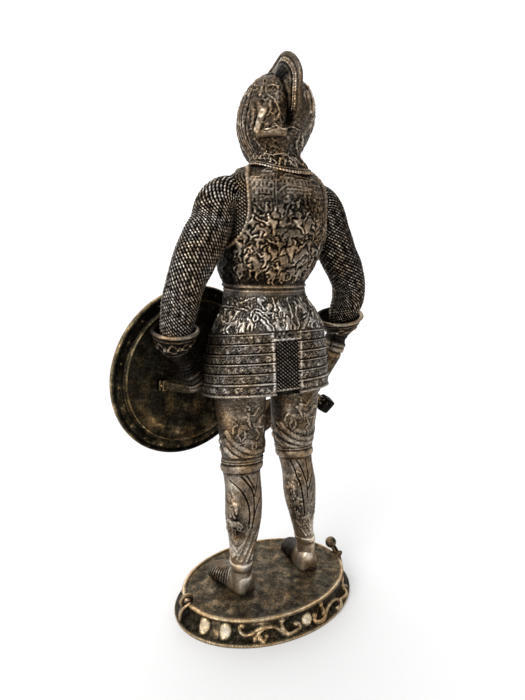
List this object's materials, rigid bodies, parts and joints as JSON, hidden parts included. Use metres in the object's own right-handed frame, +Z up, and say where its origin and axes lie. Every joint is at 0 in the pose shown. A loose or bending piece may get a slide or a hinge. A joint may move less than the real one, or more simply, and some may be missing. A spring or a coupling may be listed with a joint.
{
  "type": "knight statuette",
  "caption": "Armoured knight standing on an oval plinth, round shield on the left arm, axe lowered in the right fist; a mantel ornament in antique bronze finish.",
  "frame": {"origin": "centre of the plinth's underside, on the surface it stands on", "axes": "+Z is up; +Y is the figure's back; +X is the figure's left, the shield side"},
  "size_m": [0.1487, 0.0814, 0.2985],
  "materials": {
    "antique_bronze": "dark patina rubbed back to bronze on the raised work",
    "dark_bronze": "dark brown patina, gold on the lip",
    "blackened_bronze": "nearly black with bronze on the edge"
  },
  "bodies": {
    "root": {"plinth": "dark_bronze", "knight": "antique_bronze", "shield": "blackened_bronze", "battle_axe": "antique_bronze"}
  },
  "joints": []
}
